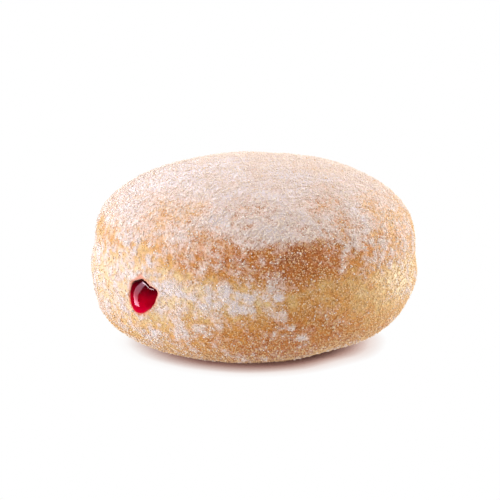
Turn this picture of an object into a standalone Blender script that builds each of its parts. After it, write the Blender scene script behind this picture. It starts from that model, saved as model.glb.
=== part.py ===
"""Jelly filled doughnut: a fried dough body, and the jelly that fills it and swells out of the fill hole.

Metres, +Z up. The doughnut stands on its flat base, with the origin at the middle of the base and the
fill hole facing -Y.
"""

import math

import bmesh
import bpy
from mathutils import Matrix, Vector

# The dough's driving dimensions. It is widest at the pale belt, the line where it floated in the oil.
WIDTH = 0.090
DOME_HEIGHT = 0.0220  # of the plain dome, before the crown arches over it
CROWN_RISE = 0.365  # how much higher the crown stands, as a share of the plain dome's height
BELT_HEIGHT = 0.0215
BASE_SHARE = 0.93  # the lower half is flat from this share of its full depth

# Superellipse exponents of the upright outline: 2 is an ellipse, and more is boxier.
DOME_FULLNESS = 4.25
BOTTOM_FULLNESS = 2.70

# The dough slumped a little as it fried: one side is leaner.
LEAN_SIDE = math.radians(42)  # its bearing, anticlockwise from +X
DOME_LEANNESS = 0.08
BOTTOM_LEANNESS = 0.35

# The belt stands a little proud between two shallow creases. The upper one dips towards the lean side.
BELT_SWELL = 0.0005
BELT_HALF = 0.0042
UPPER_CREASE = (0.0058, 0.0030, 0.0005)  # height above the belt's middle, half width, depth
UPPER_CREASE_DIP = 0.0020
LOWER_CREASE = (-0.0078, 0.0026, 0.0002)

# The outline from above is a little out of round: (lobes, share of the radius, phase in radians).
WAVES = ((2, 0.0035, 0.9), (3, 0.0035, 2.1), (5, 0.0022, 0.4), (8, 0.0010, 1.7))

# Soft hollows in the surface: (bearing, elevation) in degrees, width and depth.
HOLLOWS = (
    (-20, 34, 0.0080, 0.0007),
    (70, 66, 0.0120, 0.0005),
    (118, 30, 0.0090, 0.0006),
    (188, 35, 0.0100, 0.0005),
    (-75, 72, 0.0100, 0.0004),
    (110, -22, 0.0080, 0.0004),
    (245, -28, 0.0070, 0.0004),
    (-90, 0, 0.0065, 0.0009),  # the nozzle pushed the dough in round the fill hole
)

# The jelly: a mouth in the fill hole, the channel that the nozzle left, and the pocket in the middle.
MOUTH_INSET = 0.0008  # from the widest place in to the rim of the mouth
MOUTH_WIDTH = 0.0106
MOUTH_HEIGHT = 0.0098
MOUTH_DROP = 0.0005  # the mouth's middle lies this far below the belt's
MOUTH_TAPER = 0.22  # how much narrower the mouth is at its top
MOUTH_BULGE = 0.0019
NECK_LENGTH = 0.0060
CHANNEL_RADIUS = 0.0034
POCKET_RADIUS = 0.0190
POCKET_HALF_LENGTH = 0.0170
POCKET_FLATNESS = 0.42  # height as a share of width
JELLY_SIDES = 28
FIT_GAP = 0.0003  # between the jelly and the dough round it

DOUGH_SUBDIVISIONS = 5
SQUASH = 0.60  # the starting ball is flattened, so that its triangles come out even


def smooth_step(share):
    """0 to 1 as share goes from 0 to 1, level at both ends."""
    share = max(0.0, min(1.0, share))
    return share * share * (3 - 2 * share)


def hump(distance, half_width):
    """1 at a distance of 0, falling smoothly to nothing."""
    return math.exp(-((distance / half_width) ** 2))


def new_object(name, mesh_builder, material=None):
    """A named object round the finished bmesh, shaded smooth."""
    mesh = bpy.data.meshes.new(name)
    mesh_builder.to_mesh(mesh)
    mesh_builder.free()
    mesh.shade_smooth()
    if material:
        mesh.materials.append(material)
    made = bpy.data.objects.new(name, mesh)
    bpy.context.scene.collection.objects.link(made)
    return made


def food_material(name, colour, roughness):
    material = bpy.data.materials.new(name)
    material.use_nodes = True
    shader = material.node_tree.nodes["Principled BSDF"]
    shader.inputs["Base Color"].default_value = (*colour, 1.0)
    shader.inputs["Roughness"].default_value = roughness
    shader.inputs["Metallic"].default_value = 0.0
    return material


def outline_radius(bearing):
    """The dough's radius seen from above, at this bearing."""
    plain_radius = WIDTH / 2 - BELT_SWELL
    return plain_radius * (1 + sum(size * math.sin(lobes * bearing + phase) for lobes, size, phase in WAVES))


def body_point(direction):
    """The plain rounded body's surface in this direction from the middle of the belt."""
    flat = math.hypot(direction.x, direction.y)
    bearing = math.atan2(direction.y, direction.x)
    lean = flat * math.cos(bearing - LEAN_SIDE)
    if direction.z >= 0:
        depth = DOME_HEIGHT
        fullness = DOME_FULLNESS - DOME_LEANNESS * lean
    else:
        depth = BELT_HEIGHT / BASE_SHARE
        fullness = BOTTOM_FULLNESS - BOTTOM_LEANNESS * lean
    across = (flat / outline_radius(bearing)) ** fullness
    upright = (abs(direction.z) / depth) ** fullness
    point = direction * (across + upright) ** (-1 / fullness)
    if point.z > 0:
        spread = math.hypot(point.x, point.y) / outline_radius(bearing)
        point.z *= 1 + CROWN_RISE * max(0.0, 1 - spread**2)
    return point


def belt_relief(height, bearing):
    """How far the surface stands out at this height above the belt: the swell less the two creases."""
    relief = BELT_SWELL * hump(height, BELT_HALF)
    dip = UPPER_CREASE_DIP * math.cos(bearing - LEAN_SIDE)
    for lowered, (place, half_width, depth) in ((dip, UPPER_CREASE), (0.0, LOWER_CREASE)):
        relief -= depth * hump(height - place + lowered, half_width)
    return relief


def hollow_relief(point):
    """How far the soft hollows push the surface in at this point."""
    depth = 0.0
    for bearing, elevation, width, deepest in HOLLOWS:
        turn, tilt = math.radians(bearing), math.radians(elevation)
        aim = Vector((math.cos(turn) * math.cos(tilt), math.sin(turn) * math.cos(tilt), math.sin(tilt)))
        depth += deepest * hump((point - body_point(aim)).length, width)
    return depth


def dough_point(direction):
    """The finished surface point in this direction, measured from the middle of the base."""
    point = body_point(direction)
    outwards = Vector((direction.x, direction.y, 0.0))
    bearing = math.atan2(direction.y, direction.x)
    point += outwards * belt_relief(point.z, bearing) - direction * hollow_relief(point)
    point.z = max(point.z + BELT_HEIGHT, 0.0)
    return point


def make_dough(material):
    """A finely divided ball, flattened and then moved out or in to the dough's form."""
    ball = bmesh.new()
    bmesh.ops.create_icosphere(ball, subdivisions=DOUGH_SUBDIVISIONS, radius=1.0)
    bmesh.ops.scale(ball, vec=(1.0, 1.0, SQUASH), verts=ball.verts)
    for corner in ball.verts:
        corner.co = dough_point(corner.co.normalized())
    return new_object("dough", ball, material)


def jelly_outline(gap, open_mouth):
    """Half of the jelly's outline as (distance in from the mouth's rim, radius), from tip to far end.

    The cutter's outline is larger by gap, and runs straight out through the mouth.
    """
    mouth_radius = MOUTH_WIDTH / 2 + gap
    channel_radius = CHANNEL_RADIUS + gap
    pocket_radius = POCKET_RADIUS + gap
    pocket_half = POCKET_HALF_LENGTH + gap
    if open_mouth:
        outline = [(-3 * MOUTH_BULGE, 0.0), (-3 * MOUTH_BULGE, mouth_radius)]
    else:
        turns = [math.radians(angle) for angle in range(0, 90, 15)]
        outline = [(-MOUTH_BULGE * math.cos(turn), mouth_radius * math.sin(turn)) for turn in turns]
    neck_steps = 6
    for step in range(neck_steps + 1):
        share = step / neck_steps
        narrowing = (mouth_radius - channel_radius) * smooth_step(share)
        outline.append((NECK_LENGTH * share, mouth_radius - narrowing))
    pocket_middle = pocket_middle_depth()
    start = math.asin(channel_radius / pocket_radius)
    pocket_steps = 16
    for step in range(pocket_steps + 1):
        turn = start + (math.pi - start) * step / pocket_steps
        outline.append((pocket_middle - pocket_half * math.cos(turn), pocket_radius * math.sin(turn)))
    outline[-1] = (outline[-1][0], 0.0)
    return outline


def mouth_depth():
    """How far the mouth's rim lies from the dough's upright middle line."""
    return WIDTH / 2 - MOUTH_INSET


def pocket_middle_depth():
    """The pocket's middle lies on the dough's upright middle line, which is the mouth's depth away."""
    return mouth_depth()


def flattening(depth):
    """The jelly's height as a share of its width: nearly round at the mouth, flat in the pocket."""
    mouth_share = MOUTH_HEIGHT / MOUTH_WIDTH
    pocket_start = pocket_middle_depth() - POCKET_HALF_LENGTH
    into_pocket = smooth_step((depth - pocket_start) / (0.6 * POCKET_HALF_LENGTH))
    return mouth_share + (POCKET_FLATNESS - mouth_share) * into_pocket


def jelly_mesh(gap=0.0, open_mouth=False):
    """The outline turned round the channel's line, which is +Y, then flattened and tapered."""
    body = bmesh.new()
    rows = [body.verts.new((radius, depth, 0.0)) for depth, radius in jelly_outline(gap, open_mouth)]
    edges = [body.edges.new(pair) for pair in zip(rows, rows[1:])]
    bmesh.ops.spin(
        body,
        geom=rows + edges,
        cent=(0, 0, 0),
        axis=(0, 1, 0),
        angle=math.tau,
        steps=JELLY_SIDES,
        use_merge=True,
    )
    bmesh.ops.remove_doubles(body, verts=body.verts, dist=1e-6)
    half_height = MOUTH_HEIGHT / 2
    for corner in body.verts:
        corner.co.z *= flattening(corner.co.y)
        near_mouth = 1 - smooth_step(corner.co.y / NECK_LENGTH)
        corner.co.x *= 1 - MOUTH_TAPER * near_mouth * max(0.0, corner.co.z / half_height)
    bmesh.ops.recalc_face_normals(body, faces=body.faces)
    return body


def make_jelly(material):
    """The jelly, and the slightly larger cutter that makes the room for it in the dough."""
    place = Vector((0.0, -mouth_depth(), BELT_HEIGHT - MOUTH_DROP))
    jelly = new_object("jelly", jelly_mesh(), material)
    cutter = new_object("jelly_room_cutter", jelly_mesh(gap=FIT_GAP, open_mouth=True))
    cutter.hide_render = True
    cutter.display_type = "WIRE"
    for made in (jelly, cutter):
        made.location = place
    return jelly, cutter


def centre_over_origin(objects):
    """Moves everything sideways, so that the outer box of dough and jelly is centred on the Z axis."""
    bpy.context.view_layer.update()
    shown = [made for made in objects if not made.hide_render]
    corners = [made.matrix_world @ corner.co for made in shown for corner in made.data.vertices]
    for axis in (0, 1):
        places = [corner[axis] for corner in corners]
        middle = (min(places) + max(places)) / 2
        for made in objects:
            made.location[axis] -= middle


def apply_place(made):
    """Puts the place into the mesh, so that the origin is the doughnut's own."""
    bpy.context.view_layer.update()
    made.data.transform(made.matrix_world)
    made.matrix_world = Matrix.Identity(4)


def main():
    for old in list(bpy.data.objects):
        bpy.data.objects.remove(old)
    dough = make_dough(food_material("fried_dough", (0.62, 0.36, 0.14), 0.75))
    jelly, cutter = make_jelly(food_material("red_jelly", (0.36, 0.004, 0.02), 0.08))
    centre_over_origin([dough, jelly, cutter])
    apply_place(dough)
    room = dough.modifiers.new("jelly_room", "BOOLEAN")
    room.operation = "DIFFERENCE"
    room.object = cutter


main()
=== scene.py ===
# %% [markdown]
# # A jelly filled doughnut, dusted with sugar
#
# The real thing is a ball of yeast dough that was fried on one side and then on the other. It floated in
# the oil, so a pale belt stayed round its middle, between two browned halves. A nozzle then pushed jelly in
# from the side, and some of it swelled back out of the hole. Last came a dusting of powdered sugar, which
# lies thick on top, thins out on the shoulder, and sticks in small lumps wherever the crust is moist.
#
# This lesson makes the looks in that order: light and camera, the skin of the dough, the fill hole, the
# relief, the browning and sugar as fields on the skin, the jelly, and then the loose sugar as true grains.
# The solid CAD model underneath gives every place and size, so the first step is to load it.

# %% Load the CAD model and note its sizes
import math

import bmesh
import bpy
import numpy as np
from mathutils import Matrix, Vector, noise
from mathutils.bvhtree import BVHTree


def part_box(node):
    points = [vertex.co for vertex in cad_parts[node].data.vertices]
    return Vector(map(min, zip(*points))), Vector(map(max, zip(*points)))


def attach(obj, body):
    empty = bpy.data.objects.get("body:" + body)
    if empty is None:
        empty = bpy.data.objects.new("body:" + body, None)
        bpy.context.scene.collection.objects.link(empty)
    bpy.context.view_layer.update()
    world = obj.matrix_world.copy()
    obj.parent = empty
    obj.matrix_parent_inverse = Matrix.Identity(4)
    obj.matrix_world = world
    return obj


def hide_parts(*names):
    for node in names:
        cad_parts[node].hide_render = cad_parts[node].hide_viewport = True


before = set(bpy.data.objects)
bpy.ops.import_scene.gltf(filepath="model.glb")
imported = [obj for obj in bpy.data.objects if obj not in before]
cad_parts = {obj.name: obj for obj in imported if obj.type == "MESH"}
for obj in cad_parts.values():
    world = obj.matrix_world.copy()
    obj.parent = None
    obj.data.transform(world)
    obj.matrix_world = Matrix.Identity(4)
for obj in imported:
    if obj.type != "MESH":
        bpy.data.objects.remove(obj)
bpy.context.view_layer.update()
MM = 0.001

dough_low, dough_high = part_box("dough")
jelly_low, jelly_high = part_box("jelly")
BELT_SHARE = 0.4205  # how far up the dough its widest line lies
MOUTH_DROP = 0.9 * MM  # the fill hole's middle lies this far below that line
belt_height = BELT_SHARE * dough_high.z
belt_middle = Vector((0.0, (dough_low.y + dough_high.y) / 2, belt_height))
mouth_middle = Vector(((jelly_low.x + jelly_high.x) / 2, dough_low.y, belt_height - MOUTH_DROP))
print("dough", dough_low, dough_high, "mouth", mouth_middle)

# %% [markdown]
# The doughnut is looked at from a little above, turned so that the fill hole shows at the left. A long lens
# keeps its outline nearly free of perspective. The camera is placed first, because its three directions
# (right, up and back) also say where the lamps go. The object isn't quite in the middle of the view, so the
# camera is slid a few millimetres sideways and up instead of being turned.

# %% Camera
TURN, RISE, DISTANCE = math.radians(42), math.radians(12.5), 0.6
SLIDE_LEFT, SLIDE_UP = 1.95 * MM, 4.05 * MM
back = Vector((math.sin(TURN) * math.cos(RISE), -math.cos(TURN) * math.cos(RISE), math.sin(RISE)))
right = Vector((math.cos(TURN), math.sin(TURN), 0.0))
up = back.cross(right)

camera = bpy.data.objects.new("camera", bpy.data.cameras.new("camera"))
camera.data.lens = 155.0
camera.data.sensor_width = 36.0
camera.matrix_world = Matrix((right, up, back)).transposed().to_4x4()
camera.location = belt_middle + back * DISTANCE - right * SLIDE_LEFT + up * SLIDE_UP
bpy.context.scene.collection.objects.link(camera)
bpy.context.scene.camera = camera
print("camera at", camera.location)

# %% [markdown]
# Pastry like this is shot in high key: a white floor, a bright white room and large soft lamps, so that
# shadows almost vanish. The room is the world's own light, which is brightest behind the doughnut and falls
# off towards the lens, so the doughnut's edges glow and the middle of its front keeps its depth. The room
# is hidden from glossy rays, as black cards would do in a studio: otherwise its mirror image would lie over
# the wet jelly like milk. Blender's filmic view transform would grey all of this down, so it is set to
# Standard.

# %% The white room
scene = bpy.context.scene
scene.view_settings.view_transform = "Standard"
scene.world = bpy.data.worlds.new("white_room")
scene.world.use_nodes = True
room = scene.world.node_tree.nodes["Background"]
room.inputs["Color"].default_value = (1.0, 0.98, 0.97, 1.0)
ROOM_LIGHT, ROOM_FALL = 1.15, 0.72  # the mean, and how much darker than that it is on the lens's side
outlook = scene.world.node_tree.nodes.new("ShaderNodeTexCoord")
facing_lens = scene.world.node_tree.nodes.new("ShaderNodeVectorMath")
facing_lens.operation = "DOT_PRODUCT"
facing_lens.inputs[1].default_value = (back * 0.98 + right * 0.20).normalized()
room_light = scene.world.node_tree.nodes.new("ShaderNodeMapRange")
room_light.inputs["From Min"].default_value = -1.0
room_light.inputs["To Min"].default_value = ROOM_LIGHT + ROOM_FALL
room_light.inputs["To Max"].default_value = ROOM_LIGHT - ROOM_FALL
room_links = scene.world.node_tree.links
room_links.new(outlook.outputs["Generated"], facing_lens.inputs[0])
room_links.new(facing_lens.outputs["Value"], room_light.inputs["Value"])
room_links.new(room_light.outputs["Result"], room.inputs["Strength"])
scene.world.cycles_visibility.glossy = False
print("room light from", ROOM_LIGHT - ROOM_FALL, "to", ROOM_LIGHT + ROOM_FALL)

# %% [markdown]
# A broad lamp above and behind gives the top its brightness, and one on each side lights up the edges. The
# last two are a tall window and a narrow skylight, which draw the streak and the thin line on the wet
# jelly. Only glossy rays see them, so they can be as bright as real windows without bleaching the dough.
# The window is brightest at its two ends, so its streak fades in the middle instead of looking cut out of
# paper.


# %% Lamps
def add_lamp(name, place, width, height, power, colour=(1.0, 1.0, 1.0)):
    """A rectangular soft lamp at place, aimed at the doughnut."""
    lamp = bpy.data.objects.new(name, bpy.data.lights.new(name, "AREA"))
    lamp.data.shape = "RECTANGLE"
    lamp.data.size, lamp.data.size_y = width, height
    lamp.data.energy, lamp.data.color = power, colour
    lamp.location = place
    lamp.rotation_euler = (place - belt_middle).to_track_quat("Z", "Y").to_euler()
    lamp.visible_camera = False
    scene.collection.objects.link(lamp)
    return lamp


top_place = belt_middle - back * 0.25 + Vector((0, 0, 1.0))
left_place = belt_middle - right * 0.6 + back * 0.16 + Vector((0, 0, 0.02))
right_place = belt_middle + right * 0.6 - back * 0.20 + Vector((0, 0, 0.08))
add_lamp("top_lamp", top_place, 1.2, 1.2, 2.9)
left_lamp = add_lamp("left_lamp", left_place, 0.3, 0.4, 2.3)
left_lamp.visible_glossy = False
add_lamp("right_lamp", right_place, 0.3, 0.4, 4.2)

window_place, skylight_place = Vector((-0.38, -0.31, 0.02)), Vector((-0.20, -0.385, 0.27))
window = add_lamp("window_lamp", mouth_middle + window_place, 0.15, 0.62, 4.0, (1.0, 0.54, 0.72))
window.rotation_euler.rotate_axis("Z", math.radians(-20))
skylight = add_lamp("skylight_lamp", mouth_middle + skylight_place, 0.26, 0.026, 0.9, (1.0, 0.86, 0.92))
window.visible_diffuse = skylight.visible_diffuse = False

WINDOW_GLOW = ((0.0, 1.5), (0.20, 0.9), (0.45, 0.34), (0.8, 0.52), (1.0, 1.1))  # along its height, strength
window.data.use_nodes = True
pane_nodes, pane_links = window.data.node_tree.nodes, window.data.node_tree.links
pane_place = pane_nodes.new("ShaderNodeNewGeometry")
pane_split = pane_nodes.new("ShaderNodeSeparateXYZ")
pane_light = pane_nodes.new("ShaderNodeValToRGB")
while len(pane_light.color_ramp.elements) < len(WINDOW_GLOW):
    pane_light.color_ramp.elements.new(0.5)
for element, (along_window, strength) in zip(pane_light.color_ramp.elements, WINDOW_GLOW):
    element.position, element.color = along_window, (strength, strength, strength, 1.0)
pane_links.new(pane_place.outputs["Parametric"], pane_split.inputs["Vector"])
pane_links.new(pane_split.outputs["Y"], pane_light.inputs["Fac"])
pane_links.new(pane_light.outputs["Color"], pane_nodes["Emission"].inputs["Strength"])

# %% [markdown]
# The floor is a light table: it glows evenly, and a painted shadow darkens its glow where the dough hides the
# sky from it. Two looks at the sky are multiplied. The first is short and leans away from the lens, for the
# painted shadow under the front. The second looks sideways, for the painted shadow under the right end. Blue
# fades most and red least, since the light that still gets in there has bounced off the crust.

# %% Floor
FLOOR_SIZE, FLOOR_DROP = 4.0, 0.1 * MM
floor_mesh = bmesh.new()
bmesh.ops.create_grid(floor_mesh, x_segments=1, y_segments=1, size=FLOOR_SIZE)
bmesh.ops.translate(floor_mesh, vec=(0, 0, -FLOOR_DROP), verts=floor_mesh.verts)
floor_data = bpy.data.meshes.new("floor")
floor_mesh.to_mesh(floor_data)
floor_mesh.free()
floor = bpy.data.objects.new("floor", floor_data)
scene.collection.objects.link(floor)
floor_paint = bpy.data.materials.new("white_floor")
floor_paint.use_nodes = True
floor_nodes = floor_paint.node_tree.nodes
floor_links = floor_paint.node_tree.links
floor_shader = floor_nodes["Principled BSDF"]
floor_shader.inputs["Base Color"].default_value = (0.0, 0.0, 0.0, 1.0)
floor_shader.inputs["Specular IOR Level"].default_value = 0.0
floor_shader.inputs["Emission Strength"].default_value = 1.0


def open_sky(distance, facing, hidden):
    """How little of the sky the dough hides from the floor, from 0 (where AO reads hidden) to 1."""
    nearness = floor_nodes.new("ShaderNodeAmbientOcclusion")
    nearness.samples = 8
    nearness.inputs["Distance"].default_value = distance
    normal = floor_nodes.new("ShaderNodeCombineXYZ")
    for axis, part in zip("XYZ", facing):
        normal.inputs[axis].default_value = part
    openness = floor_nodes.new("ShaderNodeMapRange")
    openness.inputs["From Min"].default_value = hidden
    floor_links.new(normal.outputs["Vector"], nearness.inputs["Normal"])
    floor_links.new(nearness.outputs["AO"], openness.inputs["Value"])
    return openness.outputs["Result"]


# Painted shadow: these two looks at the sky darken the floor's glow round the dough.
close_by = open_sky(3.5 * MM, Vector((0, 0, 1)) - back * 2.3 - right * 0.9, 0.43)
to_the_right = open_sky(5.5 * MM, Vector((0, 0, 0.40)) - right, 0.25)
shade = floor_nodes.new("ShaderNodeCombineColor")
for channel, close_power, wide_power in (("Red", 0.46, 0.20), ("Green", 0.67, 0.38), ("Blue", 0.73, 0.45)):
    product = floor_nodes.new("ShaderNodeMath")
    product.operation = "MULTIPLY"
    for socket, sky, power in zip(product.inputs, (close_by, to_the_right), (close_power, wide_power)):
        fading = floor_nodes.new("ShaderNodeMath")
        fading.operation = "POWER"
        fading.inputs[1].default_value = power
        floor_links.new(sky, fading.inputs[0])
        floor_links.new(fading.outputs["Value"], socket)
    floor_links.new(product.outputs["Value"], shade.inputs[channel])
floor_links.new(shade.outputs["Color"], floor_shader.inputs["Emission Color"])
floor_data.materials.append(floor_paint)
floor.visible_glossy = False
print("floor nodes:", len(floor_nodes))

# %% [markdown]
# ## The skin of the dough
#
# The skin needs an even, fine net of faces, because wrinkles, caked sugar and the torn fill hole are all
# modelled in it. A UV sphere crowds its faces at the poles, and would pinch right on the crown. So the net
# starts as a cube with every side cut into a grid, which is then blown up into a ball. Taking the tangent
# of each coordinate first keeps the squares at the cube's corners as large as those in the middle of its
# sides.


# %% An even ball
def even_ball(cuts):
    """A bmesh ball of radius 1 made of nearly equal squares."""
    ball = bmesh.new()
    bmesh.ops.create_cube(ball, size=2.0)
    bmesh.ops.subdivide_edges(ball, edges=ball.edges, cuts=cuts, use_grid_fill=True)
    for corner in ball.verts:
        spread = Vector([math.tan(part * math.pi / 4) for part in corner.co])
        corner.co = spread.normalized()
    return ball


SKIN_CUTS = 119
skin = even_ball(SKIN_CUTS)
print("skin net:", len(skin.faces), "squares")

# %% [markdown]
# Next the ball is shrunk onto the CAD model. Each corner looks from far outside towards the middle of the
# belt and stops where it meets the dough. Over the fill hole there is no dough to meet, so those corners
# take the distance of the ones round the hole, and the skin bridges it for now. The ball is flattened
# before it looks inwards, so that the faces come out even on a body that is twice as wide as it is high.

# %% Wrap the ball onto the dough
FLATTEN = 0.62
MOUTH_REACH = 7.0 * MM
graph = bpy.context.evaluated_depsgraph_get()
dough_tree = BVHTree.FromObject(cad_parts["dough"], graph)


def surface_towards(aim):
    """The outermost point of the dough in this direction from the middle of the belt."""
    found = dough_tree.ray_cast(belt_middle + aim * 0.1, -aim, 0.1)[0]
    return found if found else belt_middle


beside_mouth = [Vector((side * MOUTH_REACH, 0, 0)) + mouth_middle - belt_middle for side in (-1, 1)]
bridge = sum((surface_towards(aim.normalized()) - belt_middle).length for aim in beside_mouth) / 2
for corner in skin.verts:
    aim = Vector((corner.co.x, corner.co.y, corner.co.z * FLATTEN)).normalized()
    from_mouth = belt_middle + aim * bridge - mouth_middle
    if from_mouth.length < MOUTH_REACH:
        corner.co = belt_middle + aim * bridge
    else:
        corner.co = surface_towards(aim)
print("widest", max(corner.co.x for corner in skin.verts), "bridge radius", bridge)

# %% [markdown]
# The CAD model is made of flat facets about three millimetres across, and the skin has copied them.
# Smoothing moves every corner towards the middle of its neighbours. A few dozen rounds melt the facets
# away, while anything much wider than a facet stays.

# %% Melt the facets
SMOOTHINGS = 46
for _ in range(SMOOTHINGS):
    bmesh.ops.smooth_vert(
        skin, verts=skin.verts, factor=0.5, use_axis_x=True, use_axis_y=True, use_axis_z=True
    )
print("rounds of smoothing:", SMOOTHINGS)

# %% [markdown]
# The fill hole has a torn rim with details of half a millimetre, which is as wide as the net's squares. So
# the squares round the hole are each cut into sixteen.

# %% A finer net round the hole
FINE_REACH = 6.9 * MM
round_hole = [
    edge for edge in skin.edges if all((corner.co - mouth_middle).length < FINE_REACH for corner in edge.verts)
]
bmesh.ops.subdivide_edges(skin, edges=round_hole, cuts=3, use_grid_fill=True)
skin.normal_update()
print("edges cut:", len(round_hole), "skin faces now:", len(skin.faces))
points = np.array([corner.co for corner in skin.verts])
normals = np.array([corner.normal for corner in skin.verts])
print("smoothed box", points.min(axis=0), points.max(axis=0))

# %% [markdown]
# ## Fields on the skin
#
# What varies over the surface is written as fields: one number for every corner of the net. Each field is
# later used twice, once to shape or scatter and once to colour, so that a pale patch really is a raised
# cake of sugar. A place on the doughnut is given by its bearing, in degrees anticlockwise from +X seen from
# above, and its height above the belt in millimetres.

# %% Bearing, height and noise of every corner
from_belt = points - np.array(belt_middle)
bearing = np.degrees(np.arctan2(from_belt[:, 1], from_belt[:, 0]))
height = from_belt[:, 2] / MM
upward = normals[:, 2]


def turned(start):
    """Degrees round from a bearing, from -180 to 180."""
    return (bearing - start + 180) % 360 - 180


def smooth_step(low, high, value):
    share = np.clip((value - low) / (high - low), 0, 1)
    return share * share * (3 - 2 * share)


def noise_field(size, octaves=1, seed=0.0, stretch=(1, 1, 1)):
    """Noise from about -1 to 1 with lumps of this size in millimetres."""
    scale = np.array([1 / (size * MM * part) for part in stretch])
    places = points * scale + seed
    if octaves == 1:
        return np.array([noise.noise(place) for place in places])
    return np.array([noise.fractal(place, 1.0, 2.0, octaves) for place in places])


def patch(at_bearing, at_height, half_length, half_height):
    """1 in the middle of a patch and fading to 0 outside it. The half sizes are in millimetres."""
    middle_radius = 45.0
    along = np.radians(turned(at_bearing)) * middle_radius / half_length
    return np.exp(-(along**2) - ((height - at_height) / half_height) ** 2)


broad = noise_field(14, seed=3.1)
middling = noise_field(5, octaves=3, seed=7.7)
small = noise_field(1.9, octaves=3, seed=1.3)
fine = noise_field(0.8, octaves=2, seed=5.9)
print("noise ranges", [round(float(np.ptp(field)), 2) for field in (broad, middling, small, fine)])

# %% [markdown]
# Browning follows the frying: least on the belt, most on the shoulder just above it, then fairly even over the
# top. The lower half is a little paler and blotched, but it darkens again towards the base. That is partly the
# fried underside and partly painted shade where the dough meets the floor. The crust is darker round the side
# that faces the lens, a little to its right, and round the side opposite, and the belt is paler away from
# them. The left and right ends, as the lens sees them, are paler: partly painted light for their bright edges.

# %% The browning field
# Near the base the crust is browned most: partly the fried underside, partly painted shade where the dough
# meets the floor.
HEIGHTS = (-22, -17, -11, -6.5, -3.2, 0.0, 3.0, 5.5, 8.0, 12.0, 18.0, 29.0)
BROWNING_AND_BASE_SHADE = (0.90, 0.80, 0.68, 0.60, 0.40, 0.22, 0.24, 0.50, 0.77, 0.80, 0.66, 0.58)
wandering = height + 1.6 * broad + 1.1 * middling
browning_and_painted_light = np.interp(wandering, HEIGHTS, BROWNING_AND_BASE_SHADE)
dark_side = np.exp(-((turned(-38) / 33) ** 2)) + 0.8 * np.exp(-((turned(140) / 50) ** 2))
browning_and_painted_light *= 0.45 + 0.55 * dark_side
browning_and_painted_light *= 1 - 0.65 * (1 - np.minimum(dark_side, 1)) * np.exp(-((height / 6) ** 2))
# The two patches taken away here pale the left and right ends, as the lens sees them: partly painted light for
# their bright edges.
browning_and_painted_light += 0.20 * patch(-19, 0.5, 15, 5) - 0.16 * patch(-108, 1, 20, 10) - 0.12 * patch(16, 4, 7, 7)
browning_and_painted_light += 0.14 * middling + 0.05 * broad + 0.11 * small
browning_and_painted_light = np.clip(browning_and_painted_light, 0, 1)
print("browning_and_painted_light", browning_and_painted_light.min(), browning_and_painted_light.mean(), browning_and_painted_light.max())
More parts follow.
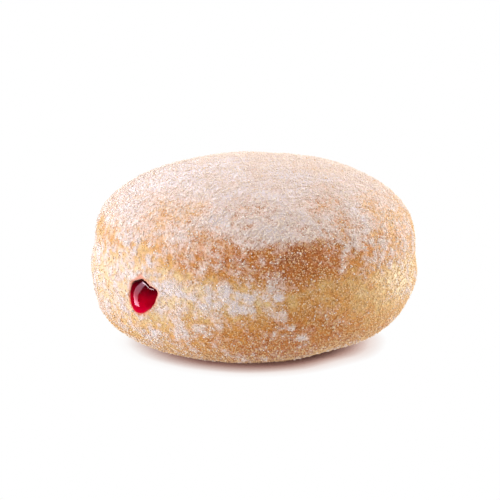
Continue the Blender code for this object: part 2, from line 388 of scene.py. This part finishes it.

# %% [markdown]
# Powdered sugar falls from above, so it stays where the surface faces up, and only clings in places on the
# sides. On top of that rule come marks: lumps that stuck to the belt, a caked ridge along a fold on the
# shoulder, and places where a glove or a neighbour rubbed it off (those have a negative strength). On the left
# end the sugar has begun to melt into the crust, which makes it smooth there. The field called melted says how
# far, and later takes away both grains and speckle.

# %% The sugar field
# Each mark: bearing, height above the belt, half length, half height, strength.
MARKS = (
    # The caked fold that runs from the fill hole down along the belt.
    (-77, 1.6, 4.0, 0.8, 0.46),
    (-71, 0.4, 2.4, 0.8, 0.46),
    (-67, -1.5, 2.2, 0.8, 0.40),
    (-79, 4.0, 0.8, 2.6, 0.30),
    (-80.5, 1.0, 2.0, 2.2, 0.40),
    # The cloudy band on the belt, and its thickest lumps.
    (-61, 1.2, 4.4, 2.2, 0.38),
    (-53, 0.6, 5.4, 2.8, 0.42),
    (-55, -1.6, 1.3, 1.0, 0.30),
    (-49, 2.2, 1.5, 1.0, 0.44),
    (-43.5, 4.0, 0.8, 1.3, 0.50),
    (-41, 1.6, 1.2, 0.6, 0.42),
    (-30, -1.5, 1.0, 0.6, 0.34),
    (-19, 0.2, 0.5, 1.6, 0.36),
    # Lumps on the lower half.
    (-33, -10.4, 2.0, 0.8, 0.46),
    (-36, -6.8, 1.1, 0.9, 0.40),
    (-74, -10.2, 1.0, 1.8, 0.30),
    (-59, -6.4, 1.4, 0.9, 0.24),
    (-47, -6.0, 1.2, 0.8, 0.24),
    # Thick places on the crown and the shoulder; the third is the ridge along the fold.
    (-61, 9.0, 1.8, 1.5, 0.20),
    (-65, 20.0, 4.0, 1.8, 0.24),
    (-3, 19.8, 3.0, 2.2, 0.22),
    (-115, 22.0, 12.0, 5.0, 0.08),
    (-28, 15.9, 6.5, 0.5, 0.12),
    (-12, 15.0, 5.0, 2.2, 0.12),
    # The pale left end and the pale right end, as the lens sees them: partly painted light for their bright
    # edges.
    (-108, 2.0, 17.0, 9.0, 0.20),
    (-90, -11.0, 9.0, 5.0, 0.18),
    (-92, 8.5, 5.0, 4.0, 0.12),
    (18, 3.0, 8.0, 8.0, 0.28),
    (-1, 9.5, 8.0, 4.0, 0.14),
    (-14, 14.0, 8.0, 3.4, 0.14),
    # A soft, uneven dusting over the front.
    (-49, 9.5, 8.0, 3.0, 0.11),
    (-44, 13.0, 5.0, 4.0, 0.15),
    (-44, 19.0, 11.0, 2.8, 0.13),
    (-30, 19.5, 5.0, 2.2, 0.09),
    (-23, 27.0, 6.0, 2.2, 0.15),
    (-77, 15.5, 5.0, 2.0, 0.10),
    (-99, 14.0, 4.5, 3.5, 0.13),
    (-128, 11.0, 8.0, 9.0, 0.06),
    (-81, 0.8, 3.5, 2.5, 0.24),
    (-92, 0.5, 4.0, 3.0, 0.10),
    (-50, -8.0, 6.0, 2.4, 0.11),
    (-86, 1.0, 5.0, 3.5, 0.10),
    (-95, 10.0, 7.0, 4.5, 0.16),
    # Rubbed bare on the belt and below it.
    (-30, 0.5, 5.0, 4.0, -0.14),
    (-35, -3.0, 3.0, 2.4, -0.18),
    (-35, -1.0, 3.0, 8.0, -0.20),
    (16, 4.0, 5.0, 7.0, -0.12),
    (-8, -9.0, 24.0, 6.0, -0.22),
    (-10, 1.5, 12.0, 3.2, -0.26),
    (-57, -9.5, 7.0, 3.2, -0.14),
    # Rubbed bare on the shoulder and the crown.
    (-32, 13.5, 5.0, 3.5, -0.11),
    (-40, 10.2, 21.0, 4.4, -0.17),
    (-95, 17.0, 9.0, 3.0, -0.15),
    (-66, 14.5, 12.0, 3.0, -0.13),
    (-26, 13.6, 8.0, 1.6, -0.14),
    (-112, 12.0, 9.0, 2.6, -0.14),
    (-88, 21.5, 12.0, 4.0, -0.14),
    (-9, 24.5, 9.0, 2.0, -0.12),
    (13, 17.0, 8.0, 5.0, -0.08),
    (-38, 12.0, 2.5, 2.5, -0.12),
)
on_top = smooth_step(0.10, 0.70, upward + 0.12 * broad)
swept = noise_field(3.4, octaves=3, seed=9.3, stretch=(2.6, 2.6, 0.8))
upright = noise_field(1.3, octaves=2, seed=4.4, stretch=(1, 1, 4))
sugar = 0.37 + 0.36 * on_top
# Less sugar where the skin faces down: partly sugar that never fell there, partly painted shade low on the
# dough.
sugar -= 0.12 * smooth_step(-0.30, -0.80, upward)
sugar += 0.08 * np.cos(np.radians(turned(-125)))
sugar += 0.06 * broad + (0.38 - 0.26 * on_top) * middling + (0.34 - 0.24 * on_top) * small
sugar += 0.17 * on_top * swept + 0.12 * np.exp(-((height / 6) ** 2)) * upright
sugar += 0.15 * smooth_step(0.80, 0.98, upward)
sugar -= 0.07 * np.exp(-(((height - 18) / 5) ** 2))
for at_bearing, at_height, half_length, half_height, strength in MARKS:
    ragged = np.clip(1 + 1.3 * small + 0.5 * middling + 0.6 * fine, 0.3, 2.0)
    sugar += strength * patch(at_bearing, at_height, half_length, half_height) * ragged
sugar = np.clip(sugar, 0, 1)
melted = patch(-122, 6, 42, 24)
print("sugar", sugar.min(), sugar.mean(), sugar.max())

# %% [markdown]
# ## The fill hole
#
# The hole isn't round: the nozzle tore it, so it has a peak at the top left and a corner on the right. Its
# outline is given as a radius for some directions round the hole, with a smooth curve through them. Inside
# the outline the skin drops into a pit for the jelly to sit in, and the torn rim stands up slightly round
# it.

# %% Outline of the torn hole
# Each: direction in degrees from +X towards +Z, radius in millimetres.
TEAR = (
    (-148, 5.2),
    (-126, 5.5),
    (-104, 4.9),
    (-67, 3.7),
    (-30, 3.8),
    (-5, 4.5),
    (17, 5.6),
    (29, 5.2),
    (48, 3.9),
    (78, 4.1),
    (95, 4.4),
    (120, 4.4),
    (140, 4.9),
    (165, 4.6),
    (192, 4.8),
)
TEAR_ROUNDING = 5.0  # degrees: how far each corner of the outline is blurred


def tear_radius(direction):
    """The hole's radius in metres in these directions (in degrees), with the outline's corners blurred."""
    places = [place for place, _ in TEAR]
    sizes = [size for _, size in TEAR]
    turns = np.linspace(-1.5, 1.5, 7)
    radius = 0.0
    for turn, weight in zip(turns, np.exp(-(turns**2))):
        radius = radius + weight * np.interp(direction + TEAR_ROUNDING * turn, places, sizes, period=360)
    return MM * radius / np.exp(-(turns**2)).sum()


across, rise = points[:, 0] - mouth_middle.x, points[:, 2] - mouth_middle.z
direction = np.degrees(np.arctan2(rise, across))
outward = np.hypot(across, rise) - tear_radius(direction)
outward[points[:, 1] > 0] = 1.0
rag = 0.10 * MM * small + 0.10 * MM * fine
into_pit = smooth_step(0.15 * MM, -0.45 * MM, outward + rag)
rim = np.exp(-(((outward - 0.8 * MM) / (0.8 * MM)) ** 2))
stain = np.exp(-((np.maximum(outward, 0) / (1.05 * MM)) ** 2))
above_peak = np.exp(-(((across + 0.9 * MM) / (1.2 * MM)) ** 2) - (((rise - 5.5 * MM) / (1.6 * MM)) ** 2))
stain = np.clip(0.9 * stain + 0.5 * above_peak * (points[:, 1] < 0), 0, 1)
print("corners in the pit:", int((into_pit > 0.5).sum()))

# %% [markdown]
# ## Relief
#
# The skin now moves along its normals. Broad and middling noise make the crust slightly uneven, as yeast
# dough is. Thick sugar stands proud by a few tenths of a millimetre with a ragged edge. The belt carries
# faint upright stretch lines. A fold runs along the shoulder, a caked one beside the hole, and at the right
# the underside curves up a little sooner. The base stays flat, because it is what the doughnut stands on.

# %% Move the skin
PIT_DEPTH, RIM_RISE = 3.0 * MM, 0.30 * MM
caked = smooth_step(0.62, 0.95, sugar + 0.10 * small)
stretch_lines = noise_field(1.1, octaves=2, seed=2.2, stretch=(1, 1, 5))
on_belt = np.exp(-((height / 5.0) ** 2))
lift = 0.22 * broad + 0.13 * middling + 0.035 * small + 0.02 * fine
lift += 0.10 * caked + 0.05 * caked * small
lift += 0.05 * on_belt * stretch_lines
lift += 0.22 * patch(-28, 15.6, 8.0, 0.7) - 0.28 * patch(-28, 14.0, 9.0, 0.8)  # the fold on the shoulder
lift += 0.25 * patch(-70, 0.0, 8.0, 0.8)  # the fold beside the hole
lift -= 0.80 * patch(-7, -17.5, 13.0, 5.0)  # the underside at the right
lift *= MM
lift += RIM_RISE * rim * (1 - into_pit)
lift *= 1 - smooth_step(1.2 * MM, 0.2 * MM, points[:, 2])

moved = points + normals * lift[:, None]
moved[:, 1] += PIT_DEPTH * into_pit
moved[:, 2] = np.maximum(moved[:, 2], 0)  # nothing under the floor
for corner, place in zip(skin.verts, moved):
    corner.co = place
print("lift in mm:", lift.min() / MM, lift.max() / MM)


# %% Make the skin an object with its fields
def new_piece(name, builder, finish):
    """An object in the scene with this bmesh as its mesh, shaded smooth."""
    data = bpy.data.meshes.new(name)
    builder.to_mesh(data)
    builder.free()
    data.shade_smooth()
    data.materials.append(finish)
    piece = bpy.data.objects.new(name, data)
    scene.collection.objects.link(piece)
    return piece


def add_field(piece, name, values):
    field = piece.data.attributes.new(name, "FLOAT", "POINT")
    field.data.foreach_set("value", np.asarray(values, dtype=np.float32))


crust_finish = bpy.data.materials.new("sugared_crust")
crust = new_piece("sugared_dough", skin, crust_finish)
for name, values in (("browning_and_painted_light", browning_and_painted_light), ("sugar", sugar), ("stain", stain), ("melted", melted)):
    add_field(crust, name, values)
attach(crust, "root")
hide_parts("dough")
print("skin triangles:", sum(len(face.vertices) - 2 for face in crust.data.polygons))

# %% [markdown]
# ## The crust's finish
#
# One material colours the skin. A colour ramp turns browning into crust colours. A mask made of the sugar
# field and fine noise then breaks the sugar up into specks: where there is little of it, only the highest
# specks show, and where there is much, only small gaps are left. The helpers keep each step to one line.


# %% Node helpers
class Finish:
    """A material's nodes, with short calls to add and link them."""

    def __init__(self, material):
        material.use_nodes = True
        self.tree = material.node_tree
        self.shader = self.tree.nodes["Principled BSDF"]
        self.place = self.add("ShaderNodeTexCoord").outputs["Object"]

    def add(self, kind, **settings):
        node = self.tree.nodes.new(kind)
        for name, value in settings.items():
            setattr(node, name, value)
        return node

    def feed(self, socket, value):
        """Links an output to the socket, or sets the socket to a plain value."""
        if isinstance(value, bpy.types.NodeSocket):
            self.tree.links.new(value, socket)
        else:
            socket.default_value = value

    def field(self, name):
        return self.add("ShaderNodeAttribute", attribute_name=name).outputs["Fac"]

    def noise(self, size_mm, detail=2.0, roughness=0.5, stretch=(1, 1, 1)):
        """Noise about 0.5 with lumps of this size."""
        mapping = self.add("ShaderNodeMapping")
        self.feed(mapping.inputs["Vector"], self.place)
        mapping.inputs["Scale"].default_value = [1 / part for part in stretch]
        node = self.add("ShaderNodeTexNoise")
        self.feed(node.inputs["Vector"], mapping.outputs["Vector"])
        node.inputs["Scale"].default_value = 1000 / size_mm
        node.inputs["Detail"].default_value = detail
        node.inputs["Roughness"].default_value = roughness
        return node.outputs["Fac"]

    def maths(self, operation, first, second):
        node = self.add("ShaderNodeMath", operation=operation)
        self.feed(node.inputs[0], first)
        self.feed(node.inputs[1], second)
        return node.outputs["Value"]

    def scaled(self, value, low, high, to_low=0.0, to_high=1.0, smooth=True):
        node = self.add("ShaderNodeMapRange", interpolation_type="SMOOTHSTEP" if smooth else "LINEAR")
        self.feed(node.inputs["Value"], value)
        for name, number in (("From Min", low), ("From Max", high), ("To Min", to_low), ("To Max", to_high)):
            node.inputs[name].default_value = number
        return node.outputs["Result"]

    def ramp(self, value, stops):
        """A colour ramp through (position, colour) stops."""
        node = self.add("ShaderNodeValToRGB")
        self.feed(node.inputs["Fac"], value)
        while len(node.color_ramp.elements) < len(stops):
            node.color_ramp.elements.new(0.5)
        for element, (position, colour) in zip(node.color_ramp.elements, stops):
            element.position, element.color = position, (*colour, 1.0)
        return node.outputs["Color"]

    def mix(self, share, first, second):
        node = self.add("ShaderNodeMix", data_type="RGBA")
        self.feed(node.inputs["Factor"], share)
        for socket, value in zip([s for s in node.inputs if s.type == "RGBA"], (first, second)):
            self.feed(socket, (*value, 1.0) if isinstance(value, tuple) else value)
        return [s for s in node.outputs if s.type == "RGBA"][0]


print("helpers ready")

# %% [markdown]
# Crust colours go from the cream of the belt through ochre and golden brown to the deep brown of the
# shoulder. They are kept on the yellow side of brown, since fried crust under white light is less red than
# memory says. The sugar is pinkish where it is thin, since the crust glows through it, and cool and white
# where it is caked. Grains differ from the gaps between them mostly in brightness, not in hue. So the same
# speckle is used twice: a little of it shifts the sugar's cover, and the rest just darkens the gaps. Where
# the sugar has melted in, the speckle's two noises are drawn in towards one middle value, so colour and
# bump calm down together.

# %% Crust colours, sugar specks, roughness and bump
look = Finish(crust_finish)
blotches = look.noise(3.2, detail=4.0, roughness=0.6)
pores = look.noise(0.9, detail=3.0, roughness=0.6)
specks = look.noise(0.50, detail=2.0, roughness=0.7)

tone = look.maths("ADD", look.field("browning_and_painted_light"), look.scaled(blotches, 0.25, 0.75, -0.16, 0.16, smooth=False))
tone = look.maths("ADD", tone, look.scaled(pores, 0.25, 0.75, -0.07, 0.07, smooth=False))
baked = look.ramp(
    tone,
    (
        (0.00, (0.920, 0.760, 0.500)),
        (0.20, (0.840, 0.560, 0.230)),
        (0.36, (0.760, 0.390, 0.110)),
        (0.52, (0.690, 0.280, 0.052)),
        (0.76, (0.600, 0.195, 0.040)),
        (1.00, (0.390, 0.095, 0.018)),
    ),
)
stained = look.mix(look.scaled(look.field("stain"), 0.05, 0.95, 0.0, 0.80), baked, (0.80, 0.19, 0.11))

CALM = 0.475
dryness = look.scaled(look.field("melted"), 0.0, 0.9, 1.0, 0.25, smooth=False)
specks, pores = (
    look.maths("ADD", CALM, look.maths("MULTIPLY", look.maths("SUBTRACT", speck_noise, CALM), dryness))
    for speck_noise in (specks, pores)
)
speckle = look.maths("ADD", look.maths("MULTIPLY", specks, 0.75), look.maths("MULTIPLY", pores, 0.45))
clumps = look.scaled(look.noise(1.7, detail=2.0), 0.30, 0.70, -0.18, 0.18, smooth=False)
cover = look.maths("ADD", look.field("sugar"), clumps)
cover = look.maths("ADD", cover, look.scaled(speckle, 0.40, 0.80, -0.16, 0.16, smooth=False))
mask = look.scaled(cover, 0.18, 0.84)
mask = look.maths("MULTIPLY", mask, look.scaled(look.field("stain"), 0.1, 0.9, 1.0, 0.18))
sugar_tint = look.ramp(
    look.field("sugar"),
    ((0.30, (0.95, 0.70, 0.56)), (0.60, (0.95, 0.77, 0.71)), (0.95, (0.84, 0.755, 0.785))),
)
gaps = look.ramp(look.scaled(speckle, 0.44, 0.66), ((0.0, (0.58, 0.41, 0.25)), (1.0, (1.0, 1.0, 1.0))))
coloured = look.mix(mask, stained, sugar_tint)
shaded = look.add("ShaderNodeMix", data_type="RGBA", blend_type="MULTIPLY")
look.feed(shaded.inputs["Factor"], look.scaled(look.field("sugar"), 0.60, 0.95, 1.0, 0.35))
multiplied = [socket for socket in shaded.inputs if socket.type == "RGBA"]
look.feed(multiplied[0], coloured)
look.feed(multiplied[1], gaps)
look.feed(look.shader.inputs["Base Color"], [socket for socket in shaded.outputs if socket.type == "RGBA"][0])
look.feed(look.shader.inputs["Roughness"], look.scaled(mask, 0.0, 1.0, 0.48, 0.90, smooth=False))

bump = look.add("ShaderNodeBump")
bump.inputs["Strength"].default_value = 0.95
bump.inputs["Distance"].default_value = 0.18 * MM
look.feed(bump.inputs["Height"], look.maths("ADD", look.maths("MULTIPLY", mask, 0.5), specks))
look.feed(look.shader.inputs["Normal"], bump.outputs["Normal"])

look.shader.inputs["Subsurface Weight"].default_value = 0.12
look.shader.inputs["Subsurface Radius"].default_value = (1.0, 0.55, 0.30)
look.shader.inputs["Subsurface Scale"].default_value = 1.5 * MM
look.shader.inputs["Specular IOR Level"].default_value = 0.30
look.shader.inputs["Sheen Weight"].default_value = 0.25
look.shader.inputs["Sheen Roughness"].default_value = 0.4
print("crust nodes:", len(look.tree.nodes))

# %% [markdown]
# ## The jelly
#
# Jelly is wet and half clear. It sags, so the blob bulges most in its lower half, and at the top it has sunk
# back into the hole. Its colour is painted light by height: almost black at the sunk top as painted shade, and
# bright red low down as painted glow from light passing through the bulge. It starts from the same even ball.
# The half that faces out is stretched to the torn outline and pushed out by a sagging profile, and the half
# that faces in reaches down into the pit.

# %% Shape the jelly
JELLY_CUTS = 47
JELLY_RADIUS, JELLY_OVERLAP = 4.6 * MM, 0.26 * MM  # its plain radius, and how far it runs under the torn edge
jelly_blob = even_ball(JELLY_CUTS)
# How low each corner sits is kept for the jelly's colour, which paints shade at the top and glow low down.
painted_glow_share = []
for corner in jelly_blob.verts:
    ball = corner.co.copy()
    share = min(1.0, math.hypot(ball.x, ball.z))
    towards = math.degrees(math.atan2(ball.z, ball.x))
    torn = float(tear_radius(np.array([towards]))[0]) + JELLY_OVERLAP
    reach = JELLY_RADIUS + (torn - JELLY_RADIUS) * share**5
    x, z = ball.x * reach, ball.z * reach
    low_down = 0.5 - 0.5 * max(-1.0, min(1.0, z / JELLY_RADIUS))
    sunk = max(0.0, min(1.0, (z + 0.35 * x + 2.0 * MM) / (7.5 * MM)))
    edge = (0.20 - 0.65 * sunk * sunk * (3 - 2 * sunk)) * MM
    bulge = (1.25 + 0.45 * low_down) * MM
    roundness = max(0.0, 1 - share**2.6) ** 0.60
    if ball.y < 0:
        out = edge + bulge * roundness
    else:
        x, z, out = 0.96 * x, 0.96 * z, edge - 2.2 * MM * ball.y
    corner.co = mouth_middle + Vector((x, -out, z))
    painted_glow_share.append(low_down)
for _ in range(4):
    bmesh.ops.smooth_vert(
        jelly_blob, verts=jelly_blob.verts, factor=0.5, use_axis_x=True, use_axis_y=True, use_axis_z=True
    )
bmesh.ops.recalc_face_normals(jelly_blob, faces=jelly_blob.faces)
jelly_finish = bpy.data.materials.new("red_jelly")
jelly = new_piece("jelly_blob", jelly_blob, jelly_finish)
add_field(jelly, "painted_glow_share", painted_glow_share)
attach(jelly, "root")
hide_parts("jelly")
print("jelly triangles:", 2 * len(jelly.data.polygons))

# %% The jelly's finish
wet = Finish(jelly_finish)
swirls = wet.scaled(wet.noise(2.6, detail=2.0), 0.3, 0.7, -0.10, 0.10, smooth=False)
# Painted shade and glow: by height alone the colour runs from almost black at the top of the blob to bright
# red at its bottom, and the swirls only vary it.
depth = wet.maths("ADD", wet.field("painted_glow_share"), swirls)
wet.feed(
    wet.shader.inputs["Base Color"],
    wet.ramp(
        depth,
        (
            (0.10, (0.035, 0.000, 0.002)),
            (0.38, (0.180, 0.000, 0.006)),
            (0.65, (0.400, 0.000, 0.012)),
            (0.95, (0.700, 0.000, 0.030)),
        ),
    ),
)
wet.shader.inputs["Roughness"].default_value = 0.06
wet.shader.inputs["IOR"].default_value = 1.36
wet.shader.inputs["Subsurface Weight"].default_value = 0.20
wet.shader.inputs["Subsurface Radius"].default_value = (1.0, 0.05, 0.08)
wet.shader.inputs["Subsurface Scale"].default_value = 1.2 * MM
print("jelly nodes:", len(wet.tree.nodes))

# %% [markdown]
# ## Loose sugar
#
# Close up, powdered sugar is never a smooth film: it gathers in specks of a few tenths of a millimetre that
# catch the light and cast tiny shadows. They are modelled at true size. Thousands of separate objects would
# be slow, so all grains of a kind are one mesh. One grain is made, the mesh is doubled until there are
# enough copies, and then each copy gets its own size, turn and place. Places are drawn at random over the
# skin, with more chance where the sugar field is high. No grain lands on the jelly, in the red stain close
# round it or under the base.

# %% Where sugar can land
chance = np.random.default_rng(20)
crust.data.calc_loop_triangles()
triangle_corners = np.empty(len(crust.data.loop_triangles) * 3, dtype=np.int32)
crust.data.loop_triangles.foreach_get("vertices", triangle_corners)
triangle_corners = triangle_corners.reshape(-1, 3)
corner_places = moved[triangle_corners]
spans = np.cross(corner_places[:, 1] - corner_places[:, 0], corner_places[:, 2] - corner_places[:, 0])
triangle_area = np.linalg.norm(spans, axis=1) / 2
triangle_normal = spans / np.maximum(2 * triangle_area, 1e-15)[:, None]
triangle_sugar = sugar[triangle_corners].mean(axis=1)
open_skin = (stain[triangle_corners].max(axis=1) < 0.7) & (corner_places[:, :, 2].max(axis=1) > 0.3 * MM)
open_skin &= outward[triangle_corners].min(axis=1) > 0.45 * MM
print("skin area in square mm:", triangle_area.sum() * 1e6)


def landing_places(count, weight):
    """Random points on the skin and the normals there, with this weight for each triangle."""
    odds = triangle_area * weight * open_skin
    picked = chance.choice(len(odds), size=count, p=odds / odds.sum())
    first, second = chance.random((2, count))
    fold = first + second > 1
    first[fold], second[fold] = 1 - first[fold], 1 - second[fold]
    corners = corner_places[picked]
    places = corners[:, 0] * (1 - first - second)[:, None]
    places += corners[:, 1] * first[:, None] + corners[:, 2] * second[:, None]
    return places, triangle_normal[picked]


# %% Copy one grain into thousands
def in_plain_order(grain):
    """The same bmesh with its corners and faces numbered from 0, which some create calls leave shuffled."""
    data = bpy.data.meshes.new("one_grain")
    grain.to_mesh(data)
    grain.free()
    ordered = bmesh.new()
    ordered.from_mesh(data)
    bpy.data.meshes.remove(data)
    ordered.verts.ensure_lookup_table()
    ordered.faces.ensure_lookup_table()
    return ordered


def many_of(grain, count):
    """The bmesh grain repeated count times, copy after copy in the same order of corners."""
    per_grain = len(grain.verts), len(grain.faces)
    made = 1
    while made < count:
        extra = min(made, count - made)
        geometry = grain.verts[: extra * per_grain[0]] + grain.faces[: extra * per_grain[1]]
        bmesh.ops.duplicate(grain, geom=geometry)
        grain.verts.ensure_lookup_table()
        grain.faces.ensure_lookup_table()
        made += extra
    return grain


def random_turns(count):
    """Rotation matrices that turn each grain its own way."""
    axes, _ = np.linalg.qr(chance.normal(size=(count, 3, 3)))
    return axes * np.sign(np.linalg.det(axes))[:, None, None]


def strew(name, grain, count, smallest, largest, weight, sunk, flat, finish):
    """A piece of count grains on the skin. flat squeezes each one towards the skin along its normal."""
    grain = in_plain_order(grain)
    shape = np.array([corner.co for corner in grain.verts])
    places, facing = landing_places(count, weight)
    size = smallest + (largest - smallest) * chance.random(count) ** 2.2
    uneven = chance.uniform(0.65, 1.25, size=(count, 3))
    turned_grains = np.einsum("gij,vj->gvi", random_turns(count) * uneven[:, None, :], shape)
    along = np.einsum("gvi,gi->gv", turned_grains, facing)
    turned_grains -= (1 - flat) * along[:, :, None] * facing[:, None, :]
    corners = places[:, None, :] + turned_grains * (size / 2)[:, None, None]
    corners += (facing * (size * (0.5 - sunk) * flat)[:, None])[:, None, :]
    corners[:, :, 2] = np.maximum(corners[:, :, 2], 0.02 * MM)
    piece = new_piece(name, many_of(grain, count), finish)
    piece.data.vertices.foreach_set("co", corners.reshape(-1).astype(np.float32))
    piece.data.update()
    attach(piece, "root")
    print(name, "triangles:", sum(len(face.vertices) - 2 for face in piece.data.polygons))


# %% [markdown]
# Five kinds are strewn. Dust is the finest and by far the most, so each grain is a splinter with four
# faces. Specks are eight-sided crystals. Crumbs are rounder, with twenty faces. Lumps are small flat cakes
# of powder that fell off the sieve. Where little sugar lies, the crust's fat has soaked into it: those
# grains are glassy and take the gold of the crust beneath them.
#
# Each kind's finish is a plain colour: at this size a single grain shows no pattern of its own, and the
# shapes do the work. The colours lean to pink and cream, because every grain is lit by the crust and its
# neighbours too.


# %% Shapes and finishes of the loose sugar
def splinter():
    """Four faces: a three-sided point."""
    made = bmesh.new()
    bmesh.ops.create_cone(made, cap_ends=True, segments=3, radius1=1.0, radius2=0.0, depth=1.5)
    return made


def crystal():
    """Eight faces: two four-sided points base to base."""
    made = bmesh.new()
    bmesh.ops.create_uvsphere(made, u_segments=4, v_segments=2, radius=1.0)
    return made


def pebble(subdivisions):
    made = bmesh.new()
    bmesh.ops.create_icosphere(made, subdivisions=subdivisions, radius=1.0)
    return made


def sugar_finish(name, colour, roughness):
    finish = bpy.data.materials.new(name)
    finish.use_nodes = True
    shader = finish.node_tree.nodes["Principled BSDF"]
    shader.inputs["Base Color"].default_value = (*colour, 1.0)
    shader.inputs["Roughness"].default_value = roughness
    shader.inputs["Specular IOR Level"].default_value = 0.35
    return finish


print("faces of one grain:", [len(made.faces) for made in (splinter(), crystal(), pebble(1), pebble(2))])

# %% [markdown]
# A kind's weight says where it lands. The thin veil favours sugared skin, but less so where the cake is
# already thick or faces straight up, since grains vanish into it there. The soaked grains favour bare skin.
# Both keep off the left end, where the sugar has melted in. Lumps lie only where the cake is thickest.

# %% Dust, soaked grains, specks, crumbs and lumps
triangle_top = smooth_step(0.72, 0.97, upward[triangle_corners].mean(axis=1))
triangle_cake = smooth_step(0.82, 0.98, triangle_sugar)
thin = (0.01 + triangle_sugar**2.4) * (1 - 0.5 * triangle_cake) * (1 - 0.4 * triangle_top)
bare = 0.01 + np.clip(0.68 - triangle_sugar, 0, 1)
triangle_melted = melted[triangle_corners].mean(axis=1)
thin *= 1 - 0.80 * triangle_melted
bare *= 1 - 0.70 * triangle_melted
thickest = triangle_sugar**7

# Each kind: name, grain, count, smallest and largest in mm, weight, sunk, flat, colour, roughness.
KINDS = (
    ("sugar_dust", splinter, 49000, 0.16, 0.36, thin, 0.10, 1.0, (0.96, 0.80, 0.71), 0.55),
    ("sugar_soaked", crystal, 24500, 0.26, 0.58, bare, 0.20, 1.0, (0.95, 0.67, 0.37), 0.35),
    ("sugar_specks", crystal, 24500, 0.30, 0.64, thin, 0.15, 1.0, (0.97, 0.83, 0.72), 0.45),
    ("sugar_crumbs", lambda: pebble(1), 9500, 0.30, 0.64, thin**1.5, 0.35, 0.7, (0.97, 0.87, 0.82), 0.60),
    ("sugar_lumps", lambda: pebble(2), 200, 0.50, 1.20, thickest, 0.50, 0.2, (0.93, 0.85, 0.84), 0.90),
)
for name, grain, count, smallest, largest, weight, sunk, flat, colour, roughness in KINDS:
    finish = sugar_finish(name, colour, roughness)
    strew(name, grain(), count, smallest * MM, largest * MM, weight, sunk, flat, finish)

# %% [markdown]
# ## The end
#
# The last call brings the scene up to date. The looks may outgrow the CAD model by a grain of sugar and
# no more.

# %% Finish
bpy.context.view_layer.update()
